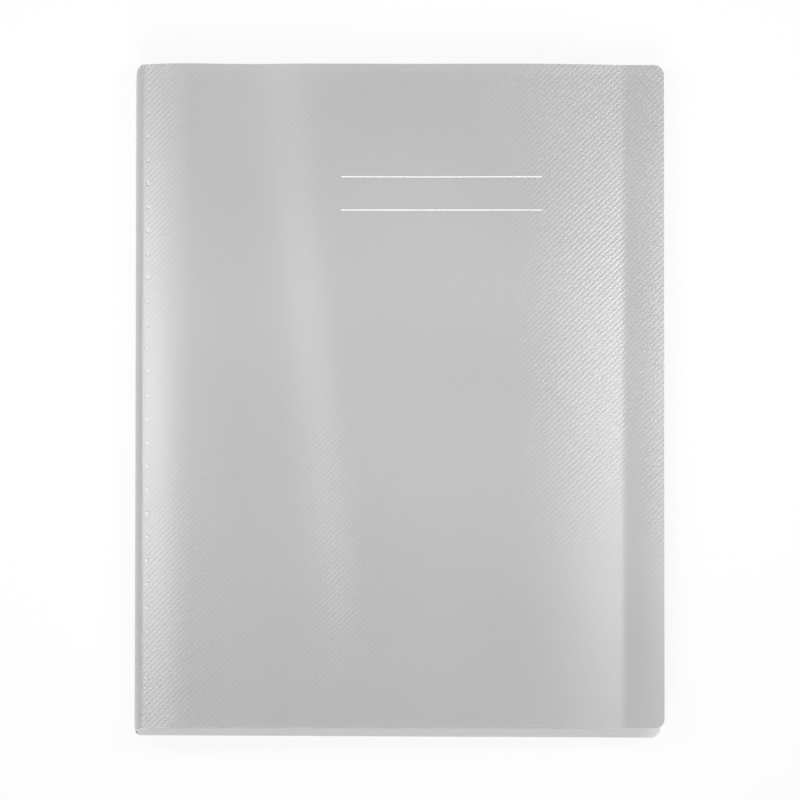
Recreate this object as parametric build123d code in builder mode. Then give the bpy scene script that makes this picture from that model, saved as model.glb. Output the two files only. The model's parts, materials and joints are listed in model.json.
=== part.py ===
from build123d import *
import os
from math import asin, cos, radians, sin

# A soft-covered display book, empty, lying shut on its back cover.
# X runs from the spine to the fore edge, Y up the page, Z up. All sizes are in mm, all tilts in degrees.

# The pockets: sleeves of thin film for A4 sheets, open at the top and welded along the other three sides
sheet_width = 210.0
sheet_height = 297.0
slot_play = 2.5  # beside a sheet
slot_spare = 5.0  # above a sheet
slot_height = 0.1
pocket_count = 40
film_thickness = 0.05
margin_width = 3.2  # the flat welded margin between the hinge and the sleeve
inner_weld = 0.5
side_weld = 1.3
bottom_weld = 1.5
fore_edge_first = 0.95  # height of the lowest pocket's fore edge
fore_clearance = 0.6  # between the top pocket and the front cover, over the fore edge

# The cover: one creased sheet, folded into a back panel, a spine panel and a front panel
fore_overhang = 22.5  # how much wider a cover panel is than a pocket
end_overhang = 3.25  # of a cover panel beyond the pockets, at the top and at the bottom
cover_thickness = 0.6
corner_radius = 4.6
crease_radius = 0.7  # the rounded outside of a fold
crease_clearance = 0.05  # round a crease, where a cover panel turns on it
crease_seat = 0.45  # from a crease's axis to the spine panel's end
panel_start = 0.35  # from a crease's axis to a cover panel's edge, along the outer face
spine_width = 17.0  # between the axes of the two creases
spine_shift = 2.7  # how far the front crease lies to the right of the back one

# The front cover's drape: it rises from the crease, runs nearly level, and drops over the pockets' edges
weld_strip = 9.5  # the straight, doubled strip along the crease
strip_tilt = 11.0
roll_radius = 60.0
level_tilt = -1.2
shoulder_length = 50.0
shoulder_tilt = -9.5
foot_length = 6.0
foot_tilt = -1.5
lip_length = 17.0
lip_tilt = -6.5

# The binding: the fused inner edges of all the pockets, and the film that wraps and holds them
hinge_pitch = 0.37  # between neighbouring pockets' hinge lines, along the spine
hinge_step = 0.15  # how much further out each hinge line lies towards the middle of the block
hinge_depth = 3.0  # of the outermost hinge lines, in front of the creases' plane
hinge_clearance = 0.1
block_margin = 0.5  # of the block beyond the outermost hinge lines
wrap_thickness = 0.15
flap_thickness = 0.15
flap_start = 1.4  # from a crease's axis
flap_end = 9.0

# The square marks of the spot welds that hold the wrap's flaps to the covers
mark_side = 1.8
mark_depth = 0.15
mark_pitch = 11.0
mark_count = 27
mark_centre = 2.4  # from a crease's axis

# The covers follow from the pockets, and the pockets from the sheets that they hold
slot_width = sheet_width + slot_play
pocket_width = margin_width + inner_weld + slot_width + side_weld
pocket_height = sheet_height + slot_spare + bottom_weld
sleeve_thickness = 2 * film_thickness + slot_height
cover_width = pocket_width + fore_overhang  # from a crease's axis to the fore edge, along the sheet
cover_height = pocket_height + 2 * end_overhang

# The outer face of the front cover, as a line seen along Y that starts beside the crease's axis
lean = asin(spine_shift / spine_width)
strip_angle = radians(strip_tilt)
roll_length = roll_radius * radians(strip_tilt - level_tilt)
level_length = cover_width - weld_strip - roll_length - shoulder_length - foot_length - lip_length
shoulder_radius = shoulder_length / radians(level_tilt - shoulder_tilt)
foot_radius = foot_length / radians(foot_tilt - shoulder_tilt)
lip_radius = lip_length / radians(foot_tilt - lip_tilt)
strip_start = (
    panel_start * cos(strip_angle) - crease_radius * sin(strip_angle),
    panel_start * sin(strip_angle) + crease_radius * cos(strip_angle),
)
with BuildLine() as drape:
    strip = PolarLine(strip_start, weld_strip - panel_start, strip_tilt)
    roll = JernArc(strip @ 1, strip % 1, roll_radius, level_tilt - strip_tilt)
    level = PolarLine(roll @ 1, level_length, level_tilt)
    shoulder = JernArc(level @ 1, level % 1, shoulder_radius, shoulder_tilt - level_tilt)
    foot = JernArc(shoulder @ 1, shoulder % 1, foot_radius, foot_tilt - shoulder_tilt)
    lip = JernArc(foot @ 1, foot % 1, lip_radius, lip_tilt - foot_tilt)
front_reach = (lip @ 1).X  # from the front crease's axis to the fore edge

# Places: the book is centred on X and lies on Z = 0
overall_width = crease_radius + spine_shift + front_reach
back_x = crease_radius - overall_width / 2
front_x = back_x + spine_shift
front_z = crease_radius + spine_width * cos(lean)
back_axis = (back_x, 0, crease_radius)
front_axis = (front_x, 0, front_z)
along_y = (0, -1, 0)
back_frame = Plane(origin=back_axis, x_dir=(1, 0, 0), z_dir=along_y)
front_frame = Plane(origin=front_axis, x_dir=(1, 0, 0), z_dir=along_y)
# On the leaning spine, x runs inwards from the creases' plane and y up from the back crease
spine_frame = Plane(origin=back_axis, x_dir=(cos(lean), 0, -sin(lean)), z_dir=along_y)
# On the front cover's weld strip, x runs along the strip and y out of it
strip_frame = Plane(
    origin=front_axis, x_dir=(cos(strip_angle), 0, sin(strip_angle)), z_dir=along_y
)
seat_radius = crease_radius + crease_clearance
inner_face = crease_radius - cover_thickness  # of a panel, from the crease's axis, towards the outside
half_cover = cover_height / 2
half_pocket = pocket_height / 2
from_corner = (Align.MIN, Align.MIN)

# Back cover: a flat panel that turns on the back crease
with BuildPart() as back_cover:
    with BuildSketch() as back_outline:
        with Locations((back_x + panel_start, 0)):
            Rectangle(cover_width - panel_start, cover_height, align=(Align.MIN, Align.CENTER))
        fillet(back_outline.vertices().group_by(Axis.X)[-1], corner_radius)
    extrude(amount=cover_thickness)
    with BuildSketch(back_frame):
        Circle(seat_radius)
    extrude(amount=half_cover, both=True, mode=Mode.SUBTRACT)
    with BuildSketch(Plane(origin=(back_x + mark_centre, 0, 0), z_dir=(0, 0, -1))):
        with GridLocations(mark_pitch, mark_pitch, 1, mark_count):
            Rectangle(mark_side, mark_side)
    extrude(amount=-mark_depth, mode=Mode.SUBTRACT)

# Front cover: the draped panel, trimmed to round its fore-edge corners
with BuildPart() as front_cover:
    with BuildSketch(front_frame):
        with BuildLine():
            add(drape.line)
            offset(amount=cover_thickness, side=Side.RIGHT)
        make_face()
    extrude(amount=half_cover, both=True)
    with BuildSketch() as front_outline:
        with Locations((front_x + front_reach, 0)):
            Rectangle(
                cover_width + crease_radius, cover_height, align=(Align.MAX, Align.CENTER)
            )
        fillet(front_outline.vertices().group_by(Axis.X)[-1], corner_radius)
    extrude(amount=front_z + cover_width, mode=Mode.INTERSECT)
    with BuildSketch(front_frame):
        Circle(seat_radius)
    extrude(amount=half_cover, both=True, mode=Mode.SUBTRACT)
    with BuildSketch(
        Plane(
            origin=strip_frame.from_local_coords((mark_centre, crease_radius, 0)),
            x_dir=strip_frame.x_dir,
            z_dir=strip_frame.y_dir,
        )
    ):
        with GridLocations(mark_pitch, mark_pitch, 1, mark_count):
            Rectangle(mark_side, mark_side)
    extrude(amount=-mark_depth, mode=Mode.SUBTRACT)

# Spine panel: leans from one crease to the other and butts on both
with BuildPart() as spine_panel:
    with BuildSketch(spine_frame):
        with Locations((-crease_radius, crease_seat)):
            Rectangle(cover_thickness, spine_width - 2 * crease_seat, align=from_corner)
    extrude(amount=half_cover, both=True)

# Back crease: the round back of the fold, flat where the spine panel butts on it
with BuildPart() as back_crease:
    with BuildSketch(spine_frame):
        Circle(crease_radius)
        with Locations((0, crease_seat)):
            Rectangle(
                2 * crease_radius, crease_radius, align=(Align.CENTER, Align.MIN), mode=Mode.SUBTRACT
            )
    extrude(amount=half_cover, both=True)

# Front crease: the same fold at the spine panel's other end
with BuildPart() as front_crease:
    with BuildSketch(spine_frame):
        with Locations((0, spine_width)):
            Circle(crease_radius)
        with Locations((0, spine_width - crease_seat)):
            Rectangle(
                2 * crease_radius, crease_radius, align=(Align.CENTER, Align.MAX), mode=Mode.SUBTRACT
            )
    extrude(amount=half_cover, both=True)

# The block of fused pocket edges stands against the wrap, and its front is a blunt wedge
block_height = (pocket_count - 1) * hinge_pitch
hinge_low = (spine_width - block_height) / 2
block_low = hinge_low - block_margin
block_high = spine_width - block_low
wrap_back = -inner_face
block_back = wrap_back + wrap_thickness
block_end = hinge_depth - hinge_clearance - hinge_step * block_margin / hinge_pitch
block_nose = hinge_depth - hinge_clearance + hinge_step * (pocket_count - 1) / 2
with BuildPart() as binding_block:
    with BuildSketch(spine_frame):
        with BuildLine():
            Polyline(
                (block_back, block_low),
                (block_end, block_low),
                (block_nose, spine_width / 2),
                (block_end, block_high),
                (block_back, block_high),
                close=True,
            )
        make_face()
    extrude(amount=half_pocket, both=True)

# Wrap: the strip of film round the back of the block, against the spine panel
with BuildPart() as binding_wrap:
    with BuildSketch(spine_frame):
        with Locations((wrap_back, block_low)):
            Rectangle(wrap_thickness, block_high - block_low, align=from_corner)
    extrude(amount=half_pocket, both=True)

# The wrap's two flaps, welded inside the covers along the creases
with BuildPart() as back_weld_flap:
    with BuildSketch(back_frame):
        with Locations((flap_start, -inner_face)):
            Rectangle(flap_end - flap_start, flap_thickness, align=from_corner)
    extrude(amount=half_pocket, both=True)
with BuildPart() as front_weld_flap:
    with BuildSketch(strip_frame):
        with Locations((flap_start, inner_face - flap_thickness)):
            Rectangle(flap_end - flap_start, flap_thickness, align=from_corner)
    extrude(amount=half_pocket, both=True)

# Pockets: each turns on its own hinge line in front of the block and slopes down to its place in the fore edge
cover_underside = front_z + (foot @ 1).Y - cover_thickness
fore_edge_last = cover_underside - fore_clearance - sleeve_thickness / 2
fore_edge_pitch = (fore_edge_last - fore_edge_first) / (pocket_count - 1)
pockets = []
for index in range(pocket_count):
    from_end = min(index, pocket_count - 1 - index)
    hinge_point = spine_frame.from_local_coords(
        (hinge_depth + hinge_step * from_end, hinge_low + hinge_pitch * index, 0)
    )
    fore_edge = fore_edge_first + fore_edge_pitch * index
    slope = asin((hinge_point.Z - fore_edge) / pocket_width)
    pocket_frame = Plane(origin=hinge_point, x_dir=(cos(slope), 0, -sin(slope)), z_dir=along_y)
    with BuildPart() as pocket:
        with BuildSketch(pocket_frame):
            Rectangle(margin_width, 2 * film_thickness, align=(Align.MIN, Align.CENTER))
            with Locations((margin_width, 0)):
                Rectangle(
                    pocket_width - margin_width, sleeve_thickness, align=(Align.MIN, Align.CENTER)
                )
        extrude(amount=half_pocket, both=True)
        # the slot runs out of the top edge and stops short of the bottom one
        with BuildSketch(pocket_frame.offset(-half_pocket)):
            with Locations((margin_width + inner_weld, 0)):
                Rectangle(slot_width, slot_height, align=(Align.MIN, Align.CENTER))
        extrude(amount=pocket_height - bottom_weld, mode=Mode.SUBTRACT)
    pocket.part.label = f"pocket_{index + 1:02d}"
    pockets.append(pocket.part)

back_cover.part.label = "back_cover"
front_cover.part.label = "front_cover"
spine_panel.part.label = "spine_panel"
back_crease.part.label = "back_crease"
front_crease.part.label = "front_crease"
binding_block.part.label = "binding_block"
binding_wrap.part.label = "binding_wrap"
back_weld_flap.part.label = "back_weld_flap"
front_weld_flap.part.label = "front_weld_flap"

os.makedirs("parts", exist_ok=True)
export_step(back_cover.part, "parts/back_cover.step")
export_step(front_cover.part, "parts/front_cover.step")
export_step(spine_panel.part, "parts/spine_panel.step")
export_step(back_crease.part, "parts/back_crease.step")
export_step(front_crease.part, "parts/front_crease.step")
export_step(binding_block.part, "parts/binding_block.step")
export_step(binding_wrap.part, "parts/binding_wrap.step")
export_step(back_weld_flap.part, "parts/back_weld_flap.step")
export_step(front_weld_flap.part, "parts/front_weld_flap.step")
for pocket_part in pockets:
    export_step(pocket_part, f"parts/{pocket_part.label}.step")
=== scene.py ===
# %% [markdown]
# # A clear pocket display book
# The book is a folded sheet of frosted plastic that holds a stack of clear film pockets. It lies shut on a
# pale table, seen almost from above. The solids of every piece come in as a fixed frame, and this script
# makes the sheets, the films and their finishes around that frame.

# %% Load the solids
import json
from math import asin, cos, degrees, pi, radians, sin, tan

import bmesh
import bpy
from mathutils import Matrix, Vector


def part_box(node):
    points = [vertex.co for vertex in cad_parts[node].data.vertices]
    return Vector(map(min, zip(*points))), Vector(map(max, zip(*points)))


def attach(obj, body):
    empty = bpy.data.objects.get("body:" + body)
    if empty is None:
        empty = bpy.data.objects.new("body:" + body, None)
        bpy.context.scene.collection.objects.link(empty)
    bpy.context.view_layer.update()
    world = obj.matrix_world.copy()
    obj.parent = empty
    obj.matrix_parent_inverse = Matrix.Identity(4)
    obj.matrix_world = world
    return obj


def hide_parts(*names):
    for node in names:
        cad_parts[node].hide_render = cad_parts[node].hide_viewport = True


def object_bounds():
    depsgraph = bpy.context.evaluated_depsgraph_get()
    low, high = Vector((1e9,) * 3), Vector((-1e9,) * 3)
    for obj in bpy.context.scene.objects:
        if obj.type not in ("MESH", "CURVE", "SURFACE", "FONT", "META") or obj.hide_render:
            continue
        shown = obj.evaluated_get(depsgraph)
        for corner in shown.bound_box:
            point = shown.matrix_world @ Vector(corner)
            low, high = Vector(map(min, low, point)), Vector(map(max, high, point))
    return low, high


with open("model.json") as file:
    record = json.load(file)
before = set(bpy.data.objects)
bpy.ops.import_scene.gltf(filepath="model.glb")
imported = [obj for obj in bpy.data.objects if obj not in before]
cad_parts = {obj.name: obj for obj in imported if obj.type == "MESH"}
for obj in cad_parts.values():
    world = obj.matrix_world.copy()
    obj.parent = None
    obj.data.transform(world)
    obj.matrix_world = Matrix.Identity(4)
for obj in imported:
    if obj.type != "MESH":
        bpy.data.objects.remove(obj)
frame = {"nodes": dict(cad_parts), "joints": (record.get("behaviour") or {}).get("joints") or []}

mm = 0.001
cad_low, cad_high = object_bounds()
joints = {joint["name"]: joint for joint in frame["joints"]}
print("box of the solids in mm", [round(side / mm, 1) for side in cad_high - cad_low])

# %% [markdown]
# ## Walking along a sheet
# A thin sheet is easiest to draw from the side, as a line: straight stretches and bends. A turtle walks that
# line one vertex at a time, with an extrude for a straight stretch and a spin for a bend.

# %% Walk and bend
ACROSS = Vector((0, -1, 0))  # a positive turn about it lifts +X towards +Z
UP, DOWN = Vector((0, 0, 1)), Vector((0, 0, -1))


def heading(tilt):
    """The direction of a line that climbs by tilt, seen along the page."""
    return Vector((cos(tilt), 0, sin(tilt)))


def walk(bm, vert, length, tilt, steps=1):
    """Goes straight on from vert and returns the last vertex."""
    for _ in range(steps):
        vert = bmesh.ops.extrude_vert_indiv(bm, verts=[vert])["verts"][0]
        bmesh.ops.translate(bm, verts=[vert], vec=heading(tilt) * length / steps)
    return vert


def bend(bm, vert, length, tilt, end_tilt, steps):
    """Goes round an arc of that length, from one tilt to another, and returns the last vertex."""
    turn = end_tilt - tilt
    centre = vert.co + heading(tilt + pi / 2) * (length / turn)
    made = bmesh.ops.spin(bm, geom=[vert], cent=centre, axis=ACROSS, angle=turn, steps=steps)
    return made["geom_last"][0]


print("a level line heads along", tuple(heading(0)))

# %% [markdown]
# ## From a line to a sheet
# The line is then dragged along the page, row by row, which gives a clean grid of quads that can be waved.
# A plane trims away what lies outside it. Where the sheet already has its thickness, that leaves a hole, and
# the rim of the cut is filled again.

# %% Drag and trim
ON_THE_CUT = 1e-7  # metres; a vertex this near to a cut counts as lying on it


def drag(bm, rows):
    """Pulls the drawn line along the page, through the places in rows."""
    line = list(bm.edges)
    bmesh.ops.translate(bm, verts=list(bm.verts), vec=(0, rows[0], 0))
    for near, far in zip(rows, rows[1:]):
        made = bmesh.ops.extrude_edge_only(bm, edges=line)["geom"]
        verts = [item for item in made if isinstance(item, bmesh.types.BMVert)]
        bmesh.ops.translate(bm, verts=verts, vec=(0, far - near, 0))
        line = [
            item
            for item in made
            if isinstance(item, bmesh.types.BMEdge) and set(item.verts) <= set(verts)
        ]


def face_towards(bm, direction):
    """Turns the sheet's faces so that they look along direction."""
    bm.normal_update()
    wrong = [face for face in bm.faces if face.normal.dot(direction) < 0]
    bmesh.ops.reverse_faces(bm, faces=wrong)


def trim(bm, point, outwards, capped=False):
    """Drops what lies outside a plane; capped closes the cut through a sheet that has its thickness."""
    everything = list(bm.verts) + list(bm.edges) + list(bm.faces)
    made = bmesh.ops.bisect_plane(
        bm, geom=everything, plane_co=point, plane_no=outwards, clear_outer=True, dist=ON_THE_CUT
    )
    rim = [item for item in made["geom_cut"] if isinstance(item, bmesh.types.BMEdge)]
    if capped and rim:
        bmesh.ops.triangle_fill(bm, edges=rim, use_beauty=True, normal=outwards)


print("cuts are true to", ON_THE_CUT / mm, "mm")

# %% [markdown]
# ## From a mesh to a piece
# Every piece ends the same way: it becomes an object at the origin, gets its finishes, shades smooth except
# at its cut edges, rides on one of the book's bodies and stands for the solid that it replaces.

# %% Finishing a piece
CREASE_ANGLE = radians(35)


def piece(bm, name, finishes, body, stands_for=()):
    """Makes an object of the mesh, with its finishes, body and material slot."""
    bm.normal_update()
    for face in bm.faces:
        face.smooth = True
    for edge in bm.edges:
        edge.smooth = len(edge.link_faces) == 2 and edge.calc_face_angle(0) < CREASE_ANGLE
    mesh = bpy.data.meshes.new(name)
    bm.to_mesh(mesh)
    bm.free()
    for finish in finishes:
        mesh.materials.append(finish)
    made = bpy.data.objects.new(name, mesh)
    bpy.context.scene.collection.objects.link(made)
    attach(made, body)
    if stands_for:
        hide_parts(*stands_for)
    return made


print("edges over", round(degrees(CREASE_ANGLE)), "degrees stay sharp")

# %% [markdown]
# ## Finishes are small node trees
# One helper adds a node and fills its sockets, with a plain value or with a link from another node, so that
# each finish reads from top to bottom as a recipe. The others name steps that come back in several recipes.

# %% Node helpers
NOISE_LOW, NOISE_HIGH = 0.3, 0.7  # nearly all of a noise texture lies between these
MIX_FACTOR, MIX_DARK, MIX_PALE, MIX_RESULT = 0, 6, 7, 2  # a colour mix shares its sockets' names


def add(tree, kind, settings=None, **sockets):
    """Adds a node; a socket is named with _ for a space and takes a value or another node's output."""
    made = tree.nodes.new(kind)
    for name, value in (settings or {}).items():
        setattr(made, name, value)
    for name, value in sockets.items():
        socket = made.inputs[name.replace("_", " ")]
        if isinstance(value, bpy.types.NodeSocket):
            tree.links.new(value, socket)
        else:
            socket.default_value = value
    return made


def blank_finish(name):
    """A material with one shader; returns the material, its tree and the shader."""
    material = bpy.data.materials.new(name)
    material.use_nodes = True
    tree = material.node_tree
    tree.nodes.clear()
    shader = tree.nodes.new("ShaderNodeBsdfPrincipled")
    output = tree.nodes.new("ShaderNodeOutputMaterial")
    tree.links.new(shader.outputs["BSDF"], output.inputs["Surface"])
    return material, tree, shader


def own_place(tree):
    """The place on the piece itself, in metres."""
    return add(tree, "ShaderNodeTexCoord").outputs["Object"]


def combine(tree, operation, first, second):
    """One value made from two others."""
    made = add(tree, "ShaderNodeMath", {"operation": operation})
    tree.links.new(first, made.inputs[0])
    tree.links.new(second, made.inputs[1])
    return made.outputs["Value"]


def stretch(tree, value, low, high, from_low=0.0, from_high=1.0):
    """Stretches a value to run from low to high."""
    made = add(tree, "ShaderNodeMapRange", Value=value, From_Min=from_low, From_Max=from_high)
    made.inputs["To Min"].default_value = low
    made.inputs["To Max"].default_value = high
    return made.outputs["Result"]


def speckle(tree, place, scale, low, high):
    """Soft noise, stretched to run from low to high."""
    noise = add(tree, "ShaderNodeTexNoise", Vector=place, Scale=scale, Detail=0.0)
    return stretch(tree, noise.outputs["Fac"], low, high, NOISE_LOW, NOISE_HIGH)


def shade_range(tree, factor, dark, pale):
    """Mixes two colours by a factor."""
    mix = add(tree, "ShaderNodeMix", {"data_type": "RGBA"})
    tree.links.new(factor, mix.inputs[MIX_FACTOR])
    mix.inputs[MIX_DARK].default_value = (*dark, 1)
    mix.inputs[MIX_PALE].default_value = (*pale, 1)
    return mix.outputs[MIX_RESULT]


print("finishes that came with the frame", len(bpy.data.materials))

# %% [markdown]
# ## What sheet and film share
# Both are polypropylene, so they share its shine. Their relief is too fine to be modelled: even bands of a
# wave texture stand up as a bump, and a value that varies makes the surface more or less smooth. None is
# smoother than 0.28, because a renderer's denoiser takes a smoother one for a mirror and leaves noise in it.

# %% Plastic helpers
WAVES_PER_UNIT = pi / 10  # a wave texture's spacing at scale 1
BUMP_STRENGTH = 0.6
PLASTIC_IOR, FULL = 1.49, 1.0


def bands(tree, place, spacing, direction):
    """Even bands, so far apart."""
    made = add(tree, "ShaderNodeTexWave", {"bands_direction": direction}, Vector=place, Distortion=0.0)
    made.inputs["Scale"].default_value = WAVES_PER_UNIT / spacing
    return made.outputs["Fac"]


def relief(tree, shader, value, height):
    """Makes a value stand up from the surface, by at most that height."""
    bump = add(tree, "ShaderNodeBump", Height=value, Strength=BUMP_STRENGTH, Distance=height)
    tree.links.new(bump.outputs["Normal"], shader.inputs["Normal"])


def plastic(tree, shader, value, rough, alpha, skin_rough=None):
    """Gives a plastic's shine, a roughness that follows a value, and where it is asked for a clear skin."""
    tree.links.new(stretch(tree, value, *rough), shader.inputs["Roughness"])
    shader.inputs["IOR"].default_value = PLASTIC_IOR
    shader.inputs["Specular IOR Level"].default_value = FULL
    shader.inputs["Alpha"].default_value = alpha
    if skin_rough:
        shader.inputs["Coat Weight"].default_value = FULL
        shader.inputs["Coat Roughness"].default_value = skin_rough


print("plastic bends light by", PLASTIC_IOR)

# %% [markdown]
# ## The frosted cover sheet
# The covers have a fine slanting emboss: the ribs are about two millimetres apart and less than a tenth of a
# millimetre high. A grain on top of them breaks the shine into a satin one. Soft clouds vary the sheet's grey
# at random, and the ribs add painted shade to the colour, darker in their valleys and paler on their crests.
# The sheet lets a little of the pockets show, which plain alpha does.

# %% Cover finish
RIB_SPACING, RIB_HEIGHT, RIB_TURN = 1.9 * mm, 0.08 * mm, radians(45)
# The ribs' share of the colour is painted shade on their relief; the clouds' share is grey that varies at
# random.
RIB_SHADE_SHARE = 0.5  # of the change from dark to pale; clouds make the rest
GRAIN_SHARE = 0.4  # of the ribs' height
GRAIN_SCALE, CLOUD_SCALE = 1600, 16
SHEET_SKIN = 0.3


def frosted_sheet(name, dark, pale, alpha, rough):
    """Embossed sheet, from a dark to a pale colour."""
    material, tree, shader = blank_finish(name)
    place = own_place(tree)
    slanted = add(tree, "ShaderNodeMapping", Vector=place, Rotation=(0, 0, RIB_TURN)).outputs["Vector"]
    ribs = bands(tree, slanted, RIB_SPACING, "X")
    grain = speckle(tree, place, GRAIN_SCALE, 0.0, GRAIN_SHARE)
    relief(tree, shader, combine(tree, "ADD", ribs, grain), RIB_HEIGHT)
    clouds = speckle(tree, place, CLOUD_SCALE, 0.0, 1.0)
    # Painted shade: the ribs darken the colour in their valleys and lighten it on their crests, and the
    # clouds vary it at random.
    rib_shade_part = stretch(tree, ribs, 0.0, RIB_SHADE_SHARE)
    clouds_part = stretch(tree, clouds, 0.0, 1 - RIB_SHADE_SHARE)
    haze = combine(tree, "ADD", rib_shade_part, clouds_part)
    tree.links.new(shade_range(tree, haze, dark, pale), shader.inputs["Base Color"])
    plastic(tree, shader, clouds, rough, alpha, SHEET_SKIN)
    return material


cover_finish = frosted_sheet(
    "frosted_cover", dark=(0.40, 0.40, 0.405), pale=(0.435, 0.435, 0.44), alpha=0.8, rough=(0.285, 0.33)
)
edge_finish = frosted_sheet(
    "cover_cut_edge", dark=(0.60, 0.60, 0.605), pale=(0.66, 0.66, 0.665), alpha=0.9, rough=(0.30, 0.36)
)
print("cover ribs every", RIB_SPACING / mm, "mm")

# %% [markdown]
# ## The clear films
# A pocket's film is clear with a faint haze. Forty pockets have 160 film faces on top of each other, so each
# face takes only a little light, by plain alpha. Film is drawn from a roll, which leaves faint streaks along
# it, and a weld keeps the fine ribs of its hot bar. Both are plain bands: a wave texture is much quicker than
# noise, which counts where one ray of light meets a hundred films.

# %% Film finishes
STREAK_HEIGHT, BAR_RIB_HEIGHT = 0.004 * mm, 0.001 * mm


def clear_film(name, colour, alpha, rough, spacing, direction="X", height=STREAK_HEIGHT, skin_rough=None):
    """Film with faint bands across a direction."""
    material, tree, shader = blank_finish(name)
    streaks = bands(tree, own_place(tree), spacing, direction)
    relief(tree, shader, streaks, height)
    shader.inputs["Base Color"].default_value = (*colour, 1)
    plastic(tree, shader, streaks, rough, alpha, skin_rough)
    return material


# The covers' smooth inner side is near white. That pale colour is partly painted light: it brightens the
# shaded strip of the back cover under the front cover's edge.
inside_with_painted_light = clear_film(
    "cover_inside_painted_light",
    (0.90, 0.90, 0.905),
    alpha=0.9,
    rough=(0.4, 0.5),
    spacing=RIB_SPACING,
    direction="DIAGONAL",
)
film_finish = clear_film("pocket_film", (0.86, 0.87, 0.885), alpha=0.12, rough=(0.28, 0.34), spacing=7 * mm)
weld_finish = clear_film(
    "film_weld",
    (0.84, 0.85, 0.86),
    alpha=0.36,
    rough=(0.36, 0.42),
    spacing=0.9 * mm,
    direction="Y",
    height=BAR_RIB_HEIGHT,
)
wrap_finish = clear_film(
    "binding_film", (0.84, 0.85, 0.86), alpha=0.35, rough=(0.28, 0.34), spacing=5 * mm, direction="Y"
)
# The spot welds are paler than the sheet, partly as a whitish weld and partly as a painted glint that makes
# the dots shine.
mark_with_painted_glint = clear_film(
    "weld_mark_painted_glint",
    (0.52, 0.52, 0.525),
    alpha=0.8,
    rough=(0.28, 0.30),
    spacing=0.6 * mm,
    direction="Y",
    height=BAR_RIB_HEIGHT,
    skin_rough=0.28,
)
print("films", film_finish.name, weld_finish.name, wrap_finish.name, mark_with_painted_glint.name)

# %% [markdown]
# ## Where the creases are
# The cover turns on two creases, and the frame gives both as hinge axes. The spine leans from one to the
# other, because the shut book has slipped a little sideways. Beside each crease runs a row of spot welds, and
# the grid of every sheet that they hold gets its rows from them.

# %% Creases and rows
crease_radius = 0.7 * mm
panel_start = 0.35 * mm  # from a crease's axis to a panel's edge
cover_thickness = 0.6 * mm
cover_width = 240 * mm  # from a crease's axis to the fore edge, along the sheet
inner_offset = crease_radius - cover_thickness  # from a crease's axis to the sheet's inner face
mark_side, mark_pitch, mark_count = 1.8 * mm, 11 * mm, 27
mark_centre = 2.4 * mm  # from a crease's axis to the middle of a spot weld
mark_low, mark_high = mark_centre - mark_side / 2, mark_centre + mark_side / 2
back_axis = Vector(joints["spine_hinge"]["pos_m"])
front_axis = Vector(joints["front_hinge"]["pos_m"])
spine_up = (front_axis - back_axis).normalized()
spine_width = (front_axis - back_axis).length
spine_out = Vector((-spine_up.z, 0, spine_up.x))
half_cover = cad_high.y
half_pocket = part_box("pocket_01")[1].y


def rows_with_marks(half):
    """Rows along the page that fall on the edges of the spot welds, with one more between two welds."""
    rows = [-half]
    for mark in range(mark_count):
        middle = (mark - (mark_count - 1) / 2) * mark_pitch
        low = middle - mark_side / 2
        rows += [(rows[-1] + low) / 2, low, middle + mark_side / 2]
    return rows + [(rows[-1] + half) / 2, half]


print("spine", round(spine_width / mm, 2), "mm wide, leaning", round(degrees(asin(spine_up.x)), 2), "degrees")

# %% [markdown]
# ## The front cover's line
# Seen from its bottom edge, the front cover climbs from the crease, rolls over, runs almost level, and drops
# over the edges of the pockets to a thin lip. The first stretch stops at both edges of the spot welds.

# %% Front cover's line
strip_tilt, level_tilt = radians(14), radians(-1.2)
shoulder_tilt, foot_tilt, lip_tilt = radians(-9.5), radians(1.0), radians(-5.6)
weld_strip, roll_length = 4 * mm, 18.3 * mm
shoulder_length, foot_length, lip_length = 52.4 * mm, 4 * mm, 16.2 * mm
level_length = cover_width - weld_strip - roll_length - shoulder_length - foot_length - lip_length
ROLL_STEPS, LEVEL_STEPS, SHOULDER_STEPS, FOOT_STEPS, LIP_STEPS = 12, 36, 16, 6, 8


def front_line():
    """The line of the front cover's outer face, from the crease to the fore edge."""
    bm = bmesh.new()
    corner = front_axis + heading(strip_tilt) * panel_start + heading(strip_tilt + pi / 2) * crease_radius
    vert = bm.verts.new(corner)
    for length in (mark_low - panel_start, mark_side, weld_strip - mark_high):
        vert = walk(bm, vert, length, strip_tilt)
    vert = bend(bm, vert, roll_length, strip_tilt, level_tilt, ROLL_STEPS)
    vert = walk(bm, vert, level_length, level_tilt, LEVEL_STEPS)
    vert = bend(bm, vert, shoulder_length, level_tilt, shoulder_tilt, SHOULDER_STEPS)
    vert = bend(bm, vert, foot_length, shoulder_tilt, foot_tilt, FOOT_STEPS)
    bend(bm, vert, lip_length, foot_tilt, lip_tilt, LIP_STEPS)
    return bm


print("front cover runs level for", round(level_length / mm, 1), "mm")

# %% [markdown]
# ## The front cover's waves
# A real sheet is never quite even: it keeps a faint wave and one soft fold, it has sunk where the pockets'
# open tops give way, and it lies a touch askew. These moves are made on the grid of the outer face, before it
# gets its thickness. Nothing rises, so the opened cover still lies flat on the table.

# %% Front cover's outer face
wave_height, wave_length, wave_slant = 0.2 * mm, 105 * mm, 0.11
fold_depth, fold_place, fold_lead, fold_rise = 1.4 * mm, -50 * mm, 40 * mm, 24 * mm
fold_fade = 0.5 * half_cover  # above the bottom edge, where the fold has its full depth
top_sag, sag_start = 1.2 * mm, 40 * mm
askew = 0.0047  # how far the cover has slipped up the page, for each step away from the crease


def smooth_step(share):
    """Goes from 0 to 1 with a soft start and a soft end."""
    share = min(max(share, 0), 1)
    return share * share * (3 - 2 * share)


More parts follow.
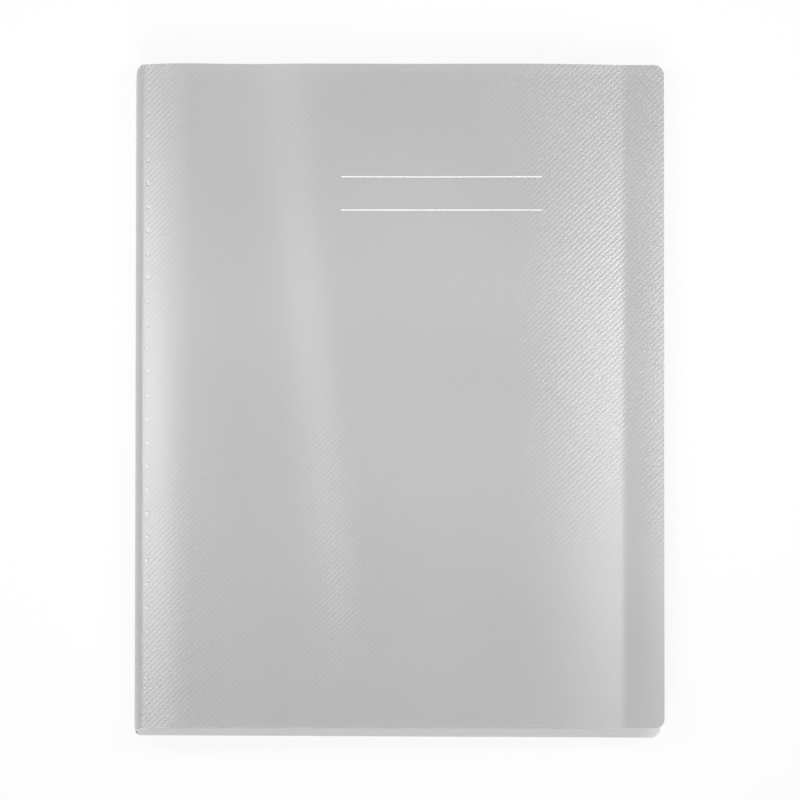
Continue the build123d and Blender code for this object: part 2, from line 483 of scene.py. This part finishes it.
def soft_fold(x, y):
    """A soft fold that runs down the page: a long dip away from the crease and a short rise out of it."""
    along = x + wave_slant * y - fold_place
    fade = smooth_step((y + half_cover) / fold_fade)
    return fade * (smooth_step(along / fold_lead + 1) - smooth_step(along / fold_rise))


def settle(bm):
    """Sinks the front cover's face in its waves and slips it askew."""
    start, reach = front_axis.x, cad_high.x - front_axis.x
    for vert in bm.verts:
        x, y, _ = vert.co
        across = min(max((x - start) / reach, 0), 1)
        wave = (1 + sin(2 * pi * (x + wave_slant * y) / wave_length)) * wave_height
        sag = top_sag * smooth_step((y - sag_start) / (half_cover - sag_start))
        vert.co.z -= sin(pi * across) * (wave + sag) + fold_depth * soft_fold(x, y)
        vert.co.y += askew * max(x - start, 0)


def front_face():
    """The front cover's outer face, before its corners are trimmed."""
    bm = front_line()
    drag(bm, rows_with_marks(half_cover))
    face_towards(bm, UP)
    settle(bm)
    return bm


print("front cover sags by", top_sag / mm, "mm at the open tops")

# %% [markdown]
# ## Corners and spot welds
# A rounded corner is what is left when a square one is trimmed by planes that touch its arc, so a few cuts
# make it. The spot welds that hold the pockets are small square dents along the crease: the grid already has
# a square at each, which is found by its place and size, inset and pushed in.

# %% Corners and spot welds
CORNER_CUTS = 7
OUTSIDE, EDGE, MARK, INSIDE = range(4)  # a cover panel's finishes, in order
MARK_SLOPE, MARK_DEPTH = 0.3 * mm, 0.15 * mm
LEAST_FACING, MOST_OFF_PLACE, MOST_OFF_AREA = 0.8, 0.3 * mm, 0.05  # what still counts as a weld's square


def round_corners(bm, edge, facing, radius, capped=False):
    """Trims the two corners at an edge across the page, which faces +X (1) or -X (-1)."""
    rim = [vert.co.y for vert in bm.verts if facing * (edge - vert.co.x) < radius]
    for side, end in ((1, max(rim)), (-1, -min(rim))):
        centre = Vector((edge - facing * radius, side * (end - radius), 0))
        for cut in range(CORNER_CUTS):
            angle = pi / 2 * (cut + 0.5) / CORNER_CUTS
            outwards = Vector((facing * cos(angle), side * sin(angle), 0))
            trim(bm, centre + outwards * radius, outwards, capped)


def press_marks(bm, axis, outwards):
    """Dents the sheet at its spot welds, which are the small squares beside the crease."""
    bm.normal_update()
    found = [
        face
        for face in bm.faces
        if face.normal.dot(outwards) > LEAST_FACING
        and abs((face.calc_center_median() - axis).xz.length - mark_centre) < MOST_OFF_PLACE
        and abs(face.calc_area() - mark_side**2) < MOST_OFF_AREA * mark_side**2
    ]
    bmesh.ops.inset_individual(bm, faces=found, thickness=MARK_SLOPE, depth=-MARK_DEPTH)
    for face in found:
        face.material_index = MARK
    return len(found)


print("a corner takes", CORNER_CUTS, "cuts, a spot weld is", mark_side / mm, "mm wide")

# %% [markdown]
# ## From a face to a cover panel
# The trimmed face is made solid, towards the inside of the book. Its outer side, its cut edges and its smooth
# inner side then get their finishes by the way that each face looks; the inner side's pale finish is partly
# painted light.

# %% Front cover
corner_radius = 4.6 * mm
SIDEWAYS = 0.5  # a face that has less than this of a direction in its normal looks to the side


def cover_panel(bm, name, axis, outwards, body):
    """Trims, thickens and dents a cover's outer face and makes it a piece."""
    round_corners(bm, max(vert.co.x for vert in bm.verts), 1, corner_radius)
    bmesh.ops.solidify(bm, geom=list(bm.faces), thickness=cover_thickness)
    bm.normal_update()
    for face in bm.faces:
        looks_out = face.normal.dot(outwards)
        face.material_index = EDGE
        if looks_out > SIDEWAYS:
            face.material_index = OUTSIDE
        if looks_out < -SIDEWAYS:
            face.material_index = INSIDE
    marks = press_marks(bm, axis, outwards)
    print(name, "has", marks, "spot welds and", len(bm.faces), "faces")
    piece(bm, name, [cover_finish, edge_finish, mark_with_painted_glint, inside_with_painted_light], body, [body])


cover_panel(front_face(), "front_cover_sheet", front_axis, UP, "front_cover")

# %% [markdown]
# ## The back cover
# The back cover is the same sheet lying flat, so its line is one straight walk. Its outer face looks down, it
# has slipped the other way, and its corners at the spine are nipped round with the fold.

# %% Back cover
BACK_STEPS = 24
back_askew = -0.004
nip_radius = 2.6 * mm  # at the ends of the folded spine


def back_face():
    """The back cover's outer face, before its corners at the fore edge are trimmed."""
    bm = bmesh.new()
    vert = bm.verts.new(back_axis + Vector((panel_start, 0, -crease_radius)))
    vert = walk(bm, vert, mark_low - panel_start, 0)
    vert = walk(bm, vert, mark_side, 0)
    walk(bm, vert, cover_width - mark_high, 0, BACK_STEPS)
    drag(bm, rows_with_marks(half_cover))
    face_towards(bm, DOWN)
    for vert in bm.verts:
        vert.co.y += back_askew * (vert.co.x - back_axis.x)
    round_corners(bm, cad_low.x, -1, nip_radius)
    return bm


cover_panel(back_face(), "back_cover_sheet", back_axis, DOWN, "back_cover")

# %% [markdown]
# ## The spine and its creases
# A folded sheet of plastic keeps a bead along each crease, and the spine between them bows out a little. Seen
# from its end, the sheet is one line: most of a turn round the back crease, a shallow arc, and most of a turn
# round the front one. Each is a spin. The line is dragged along the page and gets its thickness. Its ends are
# nipped round only then, with capped cuts, because one can look into them.

# %% Spine's outer face
BEAD_STEPS, BOW_STEPS = 22, 10
spine_bow = 1.0 * mm
THREE_QUARTERS = 1.5 * pi  # of a turn


def spine_face():
    """The outer face of the spine with its beads."""
    bm = bmesh.new()
    seat = (crease_radius**2 - inner_offset**2) ** 0.5
    sweep = asin(inner_offset / crease_radius) + THREE_QUARTERS
    bow_radius = (spine_width**2 / 4 + spine_bow**2) / (2 * spine_bow)
    bow_turn = 2 * asin(spine_width / 2 / bow_radius)
    middle = (back_axis + front_axis) / 2 + spine_out * (crease_radius + spine_bow - bow_radius)
    vert = bm.verts.new(back_axis + spine_out * inner_offset + spine_up * seat)
    arcs = [(back_axis, sweep, BEAD_STEPS), (middle, bow_turn, BOW_STEPS), (front_axis, sweep, BEAD_STEPS)]
    for centre, turn, steps in arcs:
        made = bmesh.ops.spin(bm, geom=[vert], cent=centre, axis=ACROSS, angle=-turn, steps=steps)
        vert = made["geom_last"][0]
    drag(bm, [-half_cover, 0, half_cover])
    bm.normal_update()
    outermost = min(bm.faces, key=lambda face: abs(face.calc_center_median().z - middle.z))
    if outermost.normal.dot(spine_out) < 0:
        bmesh.ops.reverse_faces(bm, faces=list(bm.faces))
    return bm


print("spine bowed out by", spine_bow / mm, "mm")

# %% [markdown]
# ## Finishes on the spine
# The spine has the cover's three finishes: a cut edge at its two ends, the pale inner finish towards the
# pages, inside the beads and on the bead faces that turn in towards the pages, and the embossed outer side on
# all the rest. On those turned-in bead faces the pale finish is painted light on a shaded corner.

# %% Spine
SPINE_OUTSIDE, SPINE_EDGE, SPINE_INSIDE_AND_PAINTED_LIGHT = range(3)  # the spine's finishes, in order
SLACK = 0.2  # how much a face may lean and still count as square to a direction
spine_mesh = spine_face()
bmesh.ops.solidify(spine_mesh, geom=list(spine_mesh.faces), thickness=cover_thickness)
round_corners(spine_mesh, cad_low.x, -1, nip_radius, capped=True)
bmesh.ops.recalc_face_normals(spine_mesh, faces=list(spine_mesh.faces))
spine_mesh.normal_update()
for face in spine_mesh.faces:
    middle = face.calc_center_median()
    is_low = middle.z < (back_axis.z + front_axis.z) / 2
    crease, towards_pages = (back_axis, spine_up) if is_low else (front_axis, -spine_up)
    # Faces that look in towards the pages take the pale inner finish; on the outer bead faces that turn
    # inwards, this is painted light on a shaded corner.
    in_bead = (middle - crease).xz.length < crease_radius / 2
    looks_in = face.normal.dot(spine_out) < 0 and face.normal.dot(towards_pages) > -SLACK
    face.material_index = SPINE_INSIDE_AND_PAINTED_LIGHT if in_bead or looks_in else SPINE_OUTSIDE
    if abs(face.normal.y) > SLACK:
        face.material_index = SPINE_EDGE
open_edges = sum(not edge.is_manifold for edge in spine_mesh.edges)
print("spine faces", len(spine_mesh.faces), "open edges", open_edges)
piece(
    spine_mesh,
    "spine_sheet",
    [cover_finish, edge_finish, inside_with_painted_light],
    "spine",
    ["spine_panel", "back_crease", "front_crease"],
)

# %% [markdown]
# ## The binding block
# Inside the spine, the inner edges of all the pockets are fused into a block. Cut film shows as plies, so the
# block is a stack of thin boxes, deepest in the middle, each ending just short of its pocket's hinge. Real
# plies never line up exactly at their ends, so each box is a little longer or shorter than the next.

# %% Binding block
pocket_count = sum(name.startswith("pocket_") for name in frame["nodes"])
strip_thickness = 0.15 * mm  # of the film round the block and of its flaps
hinge_clearance = 0.1 * mm
ply_share = 0.93  # of the pitch between two hinges
ply_short, ply_stray, ply_turn = 0.25 * mm, 0.2 * mm, 2.4
spine_in = -spine_out
wrap_back = -inner_offset  # from the creases' plane, inwards
hinges = [Vector(joints[f"pocket_{number:02d}_hinge"]["pos_m"]) for number in range(1, pocket_count + 1)]
pitch = (hinges[-1] - hinges[0]).dot(spine_up) / (pocket_count - 1)


def spine_box(bm, low, high, up_low, up_high, half):
    """A box on the leaning spine: inwards from low to high, and up the spine between two heights."""
    upright = Matrix((spine_in, (0, 1, 0), spine_up)).transposed().to_4x4()
    middle = back_axis + spine_in * (low + high) / 2 + spine_up * (up_low + up_high) / 2
    size = Matrix.Diagonal((high - low, 2 * half, up_high - up_low, 1))
    bmesh.ops.create_cube(bm, size=1, matrix=Matrix.Translation(middle) @ upright @ size)


fused_finish = clear_film(
    "fused_edges", (0.80, 0.81, 0.82), alpha=0.75, rough=(0.3, 0.45), spacing=2.3 * mm, direction="Y"
)
block = bmesh.new()
for number, hinge in enumerate(hinges):
    height = (hinge - back_axis).dot(spine_up)
    depth = (hinge - back_axis).dot(spine_in)
    up_low, up_high = height - pitch * ply_share / 2, height + pitch * ply_share / 2
    half = half_pocket - ply_short + ply_stray * sin(ply_turn * number)
    spine_box(block, wrap_back + strip_thickness, depth - hinge_clearance, up_low, up_high, half)
print("binding block of", pocket_count, "plies,", round(pitch / mm, 3), "mm each")
piece(block, "binding_plies", [fused_finish], "spine", ["binding_block"])

# %% [markdown]
# ## The wrap and its flaps
# A strip of film wraps the block, and its two flaps are spot-welded to the insides of the covers. Each is a
# short line on the cover or the spine, dragged along the page. The flaps move with their covers.

# %% Wrap and flaps
STRIP_STEPS = 3
flap_start, flap_end, flap_tilt = 1.4 * mm, 9 * mm, radians(11)
flap_length = flap_end - flap_start


def film_strip(start, tilt, length, towards, name, body, stands_for):
    """A strip of binding film from start, with its inner face looking towards a direction."""
    bm = bmesh.new()
    first = mark_low - flap_start
    vert = walk(bm, bm.verts.new(start), first, tilt)
    vert = walk(bm, vert, mark_side, tilt)
    walk(bm, vert, length - first - mark_side, tilt, STRIP_STEPS)
    drag(bm, rows_with_marks(half_pocket))
    face_towards(bm, towards)
    bmesh.ops.solidify(bm, geom=list(bm.faces), thickness=strip_thickness)
    print(name, round(length / mm, 1), "mm wide,", len(bm.faces), "faces")
    piece(bm, name, [wrap_finish], body, [stands_for])


front_inside = front_axis + heading(flap_tilt + pi / 2) * (inner_offset - strip_thickness)
front_start = front_inside + heading(flap_tilt) * flap_start
front_towards = heading(flap_tilt - pi / 2)
film_strip(
    front_start, flap_tilt, flap_length, front_towards, "front_flap_film", "front_cover", "front_weld_flap"
)
back_start = back_axis + Vector((flap_start, 0, strip_thickness - inner_offset))
film_strip(back_start, 0, flap_length, UP, "back_flap_film", "back_cover", "back_weld_flap")
wrap_box_low, wrap_box_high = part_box("binding_wrap")
wrap_length = (wrap_box_high - wrap_box_low).z / spine_up.z
wrap_low = (spine_width - wrap_length) / 2
wrap_start = back_axis + spine_up * wrap_low + spine_in * (wrap_back + strip_thickness)
wrap_tilt = pi / 2 - asin(spine_up.x)
film_strip(wrap_start, wrap_tilt, wrap_length, spine_in, "spine_wrap_film", "spine", "binding_wrap")

# %% [markdown]
# ## A pocket's film
# Each pocket is two films, welded along the spine side, the fore edge and the bottom, and open at the top.
# A film is walked and dragged as one flat grid with lines on the welds, parted from the other between them by
# the slot for the sheet, and made solid. The leaves are limp, so they arch a little more the higher they lie,
# and all keep the same faint wave, which lets them nest.

# %% Leaf of film
pocket_width = 217.5 * mm
film_thickness, slot_height = 0.05 * mm, 0.1 * mm
margin_width, inner_weld, side_weld, bottom_weld = 3.2 * mm, 0.5 * mm, 1.3 * mm, 1.5 * mm
slot_start, slot_end = margin_width + inner_weld, pocket_width - side_weld
slot_low = bottom_weld - half_pocket
leaf_columns, leaf_rows = 14, 12
leaf_wave, leaf_wave_length, leaf_wave_slant = 0.1 * mm, 46 * mm, 0.3
CLEAR, WELDED = range(2)  # a leaf's finishes, in order
TINY = 0.01 * mm


def leaf(bm, side, arch):
    """Adds one film, lying along +X from its hinge; side is 1 for the upper film and -1 for the lower."""
    film = bmesh.new()
    vert = walk(film, film.verts.new((0, 0, 0)), margin_width, 0)
    vert = walk(film, vert, inner_weld, 0)
    vert = walk(film, vert, pocket_width - margin_width - inner_weld - side_weld, 0, leaf_columns)
    walk(film, vert, side_weld, 0)
    step = (half_pocket - slot_low) / leaf_rows
    drag(film, [-half_pocket] + [slot_low + step * row for row in range(leaf_rows + 1)])
    face_towards(film, UP * side)
    for face in film.faces:
        middle = face.calc_center_median()
        in_slot = slot_start < middle.x < slot_end and middle.y >= slot_low
        face.material_index = CLEAR if in_slot else WELDED
    for vert in film.verts:
        x, y, _ = vert.co
        parted = slot_start + TINY < x < slot_end - TINY and y > slot_low + TINY
        across = x / pocket_width
        wave = leaf_wave * sin(2 * pi * (x + leaf_wave_slant * y) / leaf_wave_length) * sin(pi * across)
        vert.co.z += side * (film_thickness + parted * slot_height / 2)
        vert.co.z += wave + arch * sin(pi * across) ** 2
    bmesh.ops.solidify(film, geom=list(film.faces), thickness=film_thickness)
    film.normal_update()
    for face in film.faces:
        if abs(face.normal.z) < SIDEWAYS:
            face.material_index = WELDED
    part = bpy.data.meshes.new("leaf")
    film.to_mesh(part)
    film.free()
    bm.from_mesh(part)
    bpy.data.meshes.remove(part)


print("slot for a sheet", round((slot_end - slot_start) / mm, 1), "mm wide")

# %% [markdown]
# ## The pockets
# Two leaves make a pocket. It is made flat at the origin and then turned and moved as a whole, so that it
# starts at its hinge and reaches its place in the fore edge.

# %% Pockets
top_arch = 1.6 * mm


def pocket(number):
    """A whole pocket, turned down to its place in the fore edge."""
    name = f"pocket_{number:02d}"
    hinge = hinges[number - 1]
    sleeve = 2 * film_thickness + slot_height
    fore_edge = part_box(name)[0].z + sleeve / 2
    slope = asin((hinge.z - fore_edge) / pocket_width)
    bm = bmesh.new()
    arch = top_arch * (number - 1) / (pocket_count - 1)
    leaf(bm, 1, arch)
    leaf(bm, -1, arch)
    place = Matrix.Translation(hinge) @ Matrix.Rotation(slope, 4, "Y")
    bmesh.ops.transform(bm, matrix=place, verts=list(bm.verts))
    return piece(bm, f"{name}_sleeve", [film_finish, weld_finish], name, [name])


sleeves = [pocket(number) for number in range(1, pocket_count + 1)]
print(len(sleeves), "pockets with", len(sleeves[0].data.polygons), "faces each")

# %% [markdown]
# ## White ink
# Screen-printed ink is matt and a little uneven, so two speckles of noise vary its colour and its roughness.

# %% Ink
INK_PATCHES, INK_GRAIN = 900, 300  # the scales of its two speckles
ink_dark, ink_pale, ink_rough = (0.78, 0.78, 0.78), (0.92, 0.92, 0.92), (0.4, 0.6)
ink_finish, ink_tree, ink_shader = blank_finish("white_ink")
ink_place = own_place(ink_tree)
ink_patches = speckle(ink_tree, ink_place, INK_PATCHES, 0.0, 1.0)
ink_tree.links.new(shade_range(ink_tree, ink_patches, ink_dark, ink_pale), ink_shader.inputs["Base Color"])
ink_tree.links.new(speckle(ink_tree, ink_place, INK_GRAIN, *ink_rough), ink_shader.inputs["Roughness"])
print("ink", ink_finish.name)

# %% [markdown]
# ## Two printed lines
# The front carries two plain white lines that frame a bare title space. Ink lies on the sheet, so each line
# is a patch cut from the cover's own outer face, lifted by a hair and made solid.

# %% Printed lines
line_left, line_right, line_width = -27 * mm, 65.2 * mm, 0.55 * mm
line_heights = (102.4 * mm, 86.8 * mm)
ink_thickness = 0.03 * mm
slant = Vector((-askew, 1, 0)).normalized()
for number, height in enumerate(line_heights, start=1):
    line = front_face()
    trim(line, Vector((line_left, 0, 0)), Vector((-1, 0, 0)))
    trim(line, Vector((line_right, 0, 0)), Vector((1, 0, 0)))
    trim(line, Vector((0, height + line_width / 2, 0)), slant)
    trim(line, Vector((0, height - line_width / 2, 0)), -slant)
    bmesh.ops.translate(line, verts=list(line.verts), vec=(0, 0, ink_thickness))
    bmesh.ops.solidify(line, geom=list(line.faces), thickness=ink_thickness)
    print("printed line", number, "has", len(line.faces), "faces")
    piece(line, f"printed_line_{number}", [ink_finish], "front_cover")

# %% [markdown]
# ## The table
# The book is shown on plain white. A pale table takes its shadow, and rays that come from the camera, from a
# reflection or from glass see it almost white. So the background is pale without more light on the book.

# %% Table
TABLE_REACH, TABLE_SQUARES = 12.0, 8
TABLE_DROP = 0.02 * mm  # keeps the table clear of the back cover
TABLE_PAINT, WHITE = (0.93, 0.93, 0.93, 1), (1, 1, 1, 1)
TABLE_WHITE = 0.84  # the share of plain white that seen rays get


def seen_ray(tree):
    """1 for rays from the camera, from gloss and from glass."""
    path = add(tree, "ShaderNodeLightPath").outputs
    first = combine(tree, "MAXIMUM", path["Is Camera Ray"], path["Is Glossy Ray"])
    return combine(tree, "MAXIMUM", first, path["Is Transmission Ray"])


table_mesh = bmesh.new()
bmesh.ops.create_grid(table_mesh, x_segments=TABLE_SQUARES, y_segments=TABLE_SQUARES, size=TABLE_REACH)
bmesh.ops.translate(table_mesh, verts=list(table_mesh.verts), vec=DOWN * TABLE_DROP)
table_data = bpy.data.meshes.new("table")
table_mesh.to_mesh(table_data)
table_mesh.free()
table = bpy.data.objects.new("table", table_data)
bpy.context.scene.collection.objects.link(table)
table_finish = bpy.data.materials.new("pale_table")
table_finish.use_nodes = True
tree = table_finish.node_tree
tree.nodes.clear()
paint = add(tree, "ShaderNodeBsdfDiffuse", Color=TABLE_PAINT)
glow = add(tree, "ShaderNodeEmission", Color=WHITE, Strength=1.0)
mixed = add(tree, "ShaderNodeMixShader", Fac=stretch(tree, seen_ray(tree), 0.0, TABLE_WHITE))
tree.links.new(paint.outputs["BSDF"], mixed.inputs[1])
tree.links.new(glow.outputs["Emission"], mixed.inputs[2])
tree.links.new(mixed.outputs["Shader"], add(tree, "ShaderNodeOutputMaterial").inputs["Surface"])
table_data.materials.append(table_finish)
print("table reaches", TABLE_REACH, "m each way")

# %% [markdown]
# ## The world
# The world is white to the same rays, and gives only a little light of its own, which softens the shadows.

# %% World
AMBIENT = 0.08
world = bpy.data.worlds.new("studio")
world.use_nodes = True
bpy.context.scene.world = world
tree = world.node_tree
tree.nodes.clear()
level = stretch(tree, seen_ray(tree), AMBIENT, 1.0)
sky = add(tree, "ShaderNodeBackground", Color=WHITE, Strength=level)
tree.links.new(sky.outputs["Background"], add(tree, "ShaderNodeOutputWorld").inputs["Surface"])
print("light from the world", AMBIENT)

# %% [markdown]
# ## Soft boxes
# Two soft boxes stand to the left and to the right, so that the parts of the cover that tilt towards either
# side shine, while the level part stays a quiet grey. Their grids keep the light on the upper page. A small
# one hangs above, and three large ones fill in from the front, from the back and from the spine's side.

# %% Soft boxes
GRID_BEAM, OPEN_BEAM = radians(76), radians(180)
upper_page, book = (0, 0.07, 0), (0, 0, 0)


def soft_box(name, place, aim, wide, long, radiance, beam):
    """An area lamp that looks at aim, with a given radiance straight ahead; a grid can narrow its beam."""
    lamp = bpy.data.lights.new(name, "AREA")
    lamp.shape = "RECTANGLE"
    lamp.size, lamp.size_y = wide, long
    lamp.spread = beam
    kept = 1 - beam / 2 / tan(beam / 2)  # the spread sends the same power into a narrower beam
    lamp.energy = radiance * pi * wide * long * kept
    made = bpy.data.objects.new(name, lamp)
    made.location = place
    made.rotation_mode = "QUATERNION"
    made.rotation_quaternion = (Vector(aim) - Vector(place)).to_track_quat("-Z", "Y")
    made.visible_camera = False
    bpy.context.scene.collection.objects.link(made)


# name, place, aim, width, length, radiance and beam
soft_box("left_soft_box", (-0.43, 0.11, 0.62), upper_page, 0.22, 0.50, 7.1, GRID_BEAM)
soft_box("right_soft_box", (0.43, 0.105, 0.62), upper_page, 0.22, 0.44, 9.4, GRID_BEAM)
soft_box("over_soft_box", (-0.15, 0.20, 0.90), upper_page, 0.16, 0.16, 3.0, OPEN_BEAM)
soft_box("front_soft_box", (0, -1.8, 1.7), book, 2.0, 1.5, 4.6, OPEN_BEAM)
soft_box("back_soft_box", (0, 1.9, 1.4), book, 2.0, 1.2, 0.8, OPEN_BEAM)
soft_box("spine_soft_box", (-1.6, 0, 0.9), book, 1.2, 1.0, 1.2, OPEN_BEAM)
print("soft boxes", len(bpy.data.lights))

# %% [markdown]
# ## The camera
# The book's sides don't converge in the photograph, so the camera is far away with a very long lens. It
# stands about eleven degrees off square, towards the book's bottom edge.

# %% Camera
ELEVATION, ROLL = radians(79.1), radians(0.05)
CAMERA_DISTANCE = 12.0
FRAME_PIXELS, PIXELS_PER_MM = 800, 2.179
AIM = Vector((0.05 * mm, -0.35 * mm, 9.75 * mm))
camera_data = bpy.data.cameras.new("camera")
camera_data.sensor_width = 36
field = FRAME_PIXELS / PIXELS_PER_MM * mm
camera_data.lens = camera_data.sensor_width * CAMERA_DISTANCE / field
camera_data.clip_start, camera_data.clip_end = 0.1, 100
camera = bpy.data.objects.new("camera", camera_data)
backwards = Vector((0, -cos(ELEVATION), sin(ELEVATION)))
camera.location = AIM + backwards * CAMERA_DISTANCE
camera.rotation_mode = "QUATERNION"
looking = (-backwards).to_track_quat("-Z", "Y")
camera.rotation_quaternion = looking @ Matrix.Rotation(ROLL, 3, "Z").to_quaternion()
bpy.context.scene.collection.objects.link(camera)
bpy.context.scene.camera = camera
print("lens", round(camera_data.lens), "mm, field", round(field / mm, 1), "mm wide")

# %% [markdown]
# ## Last settings
# Colours go out as they are written. Forty pockets on top of each other need more see-through layers than the
# default, or the lowest ones turn black.

# %% Finish
scene = bpy.context.scene
scene.view_settings.view_transform = "Standard"
scene.cycles.transparent_max_bounces = 96
scene.cycles.diffuse_bounces = 2
scene.cycles.max_bounces = 8
